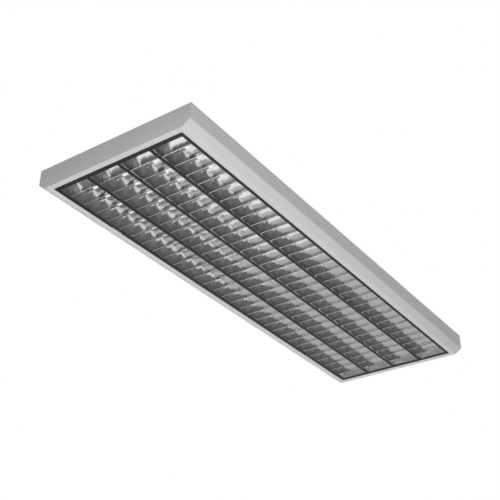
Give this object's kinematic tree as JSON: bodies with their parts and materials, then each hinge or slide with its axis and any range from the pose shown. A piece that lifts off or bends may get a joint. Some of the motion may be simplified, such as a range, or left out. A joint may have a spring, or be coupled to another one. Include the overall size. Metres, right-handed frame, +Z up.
{
  "type": "surface-mounted louvre luminaire",
  "caption": "Long shallow ceiling luminaire with a light grey steel body and a hinged louvre of mirror reflectors and cross blades under its straight tube lamps.",
  "frame": {"origin": "centre of the top face, which lies against the ceiling", "axes": "+X along the lamps towards the right end, +Y towards the hinge side, +Z up into the ceiling"},
  "size_m": [1.216, 0.4, 0.051],
  "materials": {
    "housing_paint": "light grey powder coat, satin",
    "black_paint": "black paint, satin",
    "mirror_aluminium": "bright anodised, mirror-like",
    "lamp_glass": "clear glass over white phosphor",
    "cap_metal": "satin",
    "holder_plastic": "white, semi-gloss",
    "rotor_plastic": "white, matte",
    "ballast_steel": "white lacquer, satin",
    "connector_plastic": "off-white, matte",
    "terminal_plastic": "off-white, matte",
    "brass": "bare, satin",
    "zinc_steel": "zinc plated, satin",
    "bush_rubber": "black, matte"
  },
  "bodies": {
    "body": {"top_panel": "housing_paint", "side_profile_front": "housing_paint", "side_profile_rear": "housing_paint", "end_cap_left": "housing_paint", "end_cap_right": "housing_paint", "cable_bush": "bush_rubber", "terminal_block": "terminal_plastic", "terminal_screws": "brass", "earth_stud": "brass", "ballast_1": "ballast_steel", "ballast_2": "ballast_steel", "ballast_connectors": "connector_plastic", "ballast_screws": "zinc_steel", "hinge_pins": "zinc_steel", "hinge_brackets": "zinc_steel", "catch_bases": "zinc_steel", "lampholder_left_1": "holder_plastic", "lampholder_left_2": "holder_plastic", "lampholder_left_3": "holder_plastic", "lampholder_left_4": "holder_plastic", "lampholder_right_1": "holder_plastic", "lampholder_right_2": "holder_plastic", "lampholder_right_3": "holder_plastic", "lampholder_right_4": "holder_plastic"},
    "louvre": {"frame_rail_front": "black_paint", "frame_rail_rear": "black_paint", "frame_end_left": "black_paint", "frame_end_right": "black_paint", "divider_strips": "black_paint", "side_mirrors_1": "mirror_aluminium", "side_mirrors_2": "mirror_aluminium", "side_mirrors_3": "mirror_aluminium", "side_mirrors_4": "mirror_aluminium", "end_mirrors": "mirror_aluminium", "cross_blades_1": "mirror_aluminium", "cross_blades_2": "mirror_aluminium", "cross_blades_3": "mirror_aluminium", "cross_blades_4": "mirror_aluminium", "hinge_leaves": "black_paint", "catch_keepers": "zinc_steel"},
    "lamp_1": {"lamp_tube_1": "lamp_glass", "lamp_caps_1": "cap_metal"},
    "lamp_2": {"lamp_tube_2": "lamp_glass", "lamp_caps_2": "cap_metal"},
    "lamp_3": {"lamp_tube_3": "lamp_glass", "lamp_caps_3": "cap_metal"},
    "lamp_4": {"lamp_tube_4": "lamp_glass", "lamp_caps_4": "cap_metal"},
    "rotor_body_left_1": {"rotor_left_1": "rotor_plastic"},
    "rotor_body_left_2": {"rotor_left_2": "rotor_plastic"},
    "rotor_body_left_3": {"rotor_left_3": "rotor_plastic"},
    "rotor_body_left_4": {"rotor_left_4": "rotor_plastic"},
    "rotor_body_right_1": {"rotor_right_1": "rotor_plastic"},
    "rotor_body_right_2": {"rotor_right_2": "rotor_plastic"},
    "rotor_body_right_3": {"rotor_right_3": "rotor_plastic"},
    "rotor_body_right_4": {"rotor_right_4": "rotor_plastic"},
    "catch_left": {"catch_spring_left": "zinc_steel"},
    "catch_right": {"catch_spring_right": "zinc_steel"}
  },
  "joints": [
    {"name": "louvre_hinge", "type": "hinge", "parent": "body", "child": "louvre", "pos_m": [0, 0.1678, -0.0493], "axis": [1, 0, 0], "range_deg": [0, 88]},
    {"name": "lamp_1_twist", "type": "hinge", "parent": "body", "child": "lamp_1", "pos_m": [0, -0.12405, -0.017], "axis": [1, 0, 0], "range_deg": [0, 90]},
    {"name": "rotor_left_1_turn", "type": "hinge", "parent": "body", "child": "rotor_body_left_1", "pos_m": [-0.579, -0.12405, -0.017], "axis": [1, 0, 0], "range_deg": [0, 90]},
    {"name": "rotor_right_1_turn", "type": "hinge", "parent": "body", "child": "rotor_body_right_1", "pos_m": [0.579, -0.12405, -0.017], "axis": [1, 0, 0], "range_deg": [0, 90]},
    {"name": "lamp_2_twist", "type": "hinge", "parent": "body", "child": "lamp_2", "pos_m": [0, -0.04135, -0.017], "axis": [1, 0, 0], "range_deg": [0, 90]},
    {"name": "rotor_left_2_turn", "type": "hinge", "parent": "body", "child": "rotor_body_left_2", "pos_m": [-0.579, -0.04135, -0.017], "axis": [1, 0, 0], "range_deg": [0, 90]},
    {"name": "rotor_right_2_turn", "type": "hinge", "parent": "body", "child": "rotor_body_right_2", "pos_m": [0.579, -0.04135, -0.017], "axis": [1, 0, 0], "range_deg": [0, 90]},
    {"name": "lamp_3_twist", "type": "hinge", "parent": "body", "child": "lamp_3", "pos_m": [0, 0.04135, -0.017], "axis": [1, 0, 0], "range_deg": [0, 90]},
    {"name": "rotor_left_3_turn", "type": "hinge", "parent": "body", "child": "rotor_body_left_3", "pos_m": [-0.579, 0.04135, -0.017], "axis": [1, 0, 0], "range_deg": [0, 90]},
    {"name": "rotor_right_3_turn", "type": "hinge", "parent": "body", "child": "rotor_body_right_3", "pos_m": [0.579, 0.04135, -0.017], "axis": [1, 0, 0], "range_deg": [0, 90]},
    {"name": "lamp_4_twist", "type": "hinge", "parent": "body", "child": "lamp_4", "pos_m": [0, 0.12405, -0.017], "axis": [1, 0, 0], "range_deg": [0, 90]},
    {"name": "rotor_left_4_turn", "type": "hinge", "parent": "body", "child": "rotor_body_left_4", "pos_m": [-0.579, 0.12405, -0.017], "axis": [1, 0, 0], "range_deg": [0, 90]},
    {"name": "rotor_right_4_turn", "type": "hinge", "parent": "body", "child": "rotor_body_right_4", "pos_m": [0.579, 0.12405, -0.017], "axis": [1, 0, 0], "range_deg": [0, 90]},
    {"name": "catch_left_flex", "type": "hinge", "parent": "body", "child": "catch_left", "pos_m": [-0.4, -0.17075, -0.0427], "axis": [1, 0, 0], "range_deg": [0, 8], "stiffness_Nm_per_rad": 0.02},
    {"name": "catch_right_flex", "type": "hinge", "parent": "body", "child": "catch_right", "pos_m": [0.4, -0.17075, -0.0427], "axis": [1, 0, 0], "range_deg": [0, 8], "stiffness_Nm_per_rad": 0.02}
  ],
  "couplings": [
    {"joint": "rotor_left_1_turn", "follows": "lamp_1_twist", "ratio": 1},
    {"joint": "rotor_right_1_turn", "follows": "lamp_1_twist", "ratio": 1},
    {"joint": "rotor_left_2_turn", "follows": "lamp_2_twist", "ratio": 1},
    {"joint": "rotor_right_2_turn", "follows": "lamp_2_twist", "ratio": 1},
    {"joint": "rotor_left_3_turn", "follows": "lamp_3_twist", "ratio": 1},
    {"joint": "rotor_right_3_turn", "follows": "lamp_3_twist", "ratio": 1},
    {"joint": "rotor_left_4_turn", "follows": "lamp_4_twist", "ratio": 1},
    {"joint": "rotor_right_4_turn", "follows": "lamp_4_twist", "ratio": 1}
  ]
}
